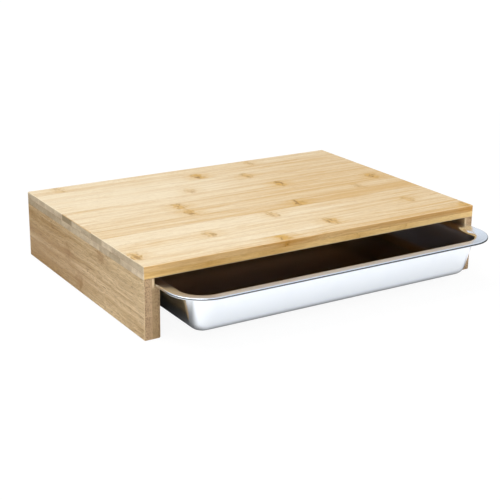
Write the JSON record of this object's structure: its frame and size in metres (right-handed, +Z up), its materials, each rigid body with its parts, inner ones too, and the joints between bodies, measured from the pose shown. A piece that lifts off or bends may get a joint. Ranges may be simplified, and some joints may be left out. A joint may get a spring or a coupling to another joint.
{
  "type": "cutting board with drawer tray",
  "caption": "Bamboo cutting board on two side legs, with a wide shallow polished steel tray that slides out of the front on rabbets in the legs.",
  "frame": {"origin": "on the table, at the middle of the object's outline with the tray pulled out 57 mm", "axes": "+X to the right, the front towards -Y, where the tray comes out, +Z up"},
  "size_m": [0.38, 0.327, 0.07],
  "materials": {
    "board_bamboo": "sanded bamboo strips, oiled, satin",
    "leg_bamboo": "sanded bamboo strips, oiled, satin",
    "dowel_beech": "plain turned beech",
    "polished_steel": "stainless steel, drawn and mirror polished"
  },
  "bodies": {
    "board_stand": {"upper_strip_01": "board_bamboo", "upper_strip_02": "board_bamboo", "upper_strip_03": "board_bamboo", "upper_strip_04": "board_bamboo", "upper_strip_05": "board_bamboo", "upper_strip_06": "board_bamboo", "upper_strip_07": "board_bamboo", "upper_strip_08": "board_bamboo", "upper_strip_09": "board_bamboo", "upper_strip_10": "board_bamboo", "upper_strip_11": "board_bamboo", "upper_strip_12": "board_bamboo", "lower_strip_01": "board_bamboo", "lower_strip_02": "board_bamboo", "lower_strip_03": "board_bamboo", "lower_strip_04": "board_bamboo", "lower_strip_05": "board_bamboo", "lower_strip_06": "board_bamboo", "lower_strip_07": "board_bamboo", "lower_strip_08": "board_bamboo", "lower_strip_09": "board_bamboo", "lower_strip_10": "board_bamboo", "lower_strip_11": "board_bamboo", "lower_strip_12": "board_bamboo", "left_leg_outer_1": "leg_bamboo", "left_leg_outer_2": "leg_bamboo", "left_leg_outer_3": "leg_bamboo", "left_leg_inner_1": "leg_bamboo", "left_leg_inner_2": "leg_bamboo", "left_leg_inner_3": "leg_bamboo", "right_leg_outer_1": "leg_bamboo", "right_leg_outer_2": "leg_bamboo", "right_leg_outer_3": "leg_bamboo", "right_leg_inner_1": "leg_bamboo", "right_leg_inner_2": "leg_bamboo", "right_leg_inner_3": "leg_bamboo", "left_dowels": "dowel_beech", "right_dowels": "dowel_beech"},
    "tray": {"tray": "polished_steel"}
  },
  "joints": [
    {"name": "tray_slide", "type": "slide", "parent": "board_stand", "child": "tray", "axis": [0, -1, 0], "range_m": [-0.057, 0.2]}
  ]
}
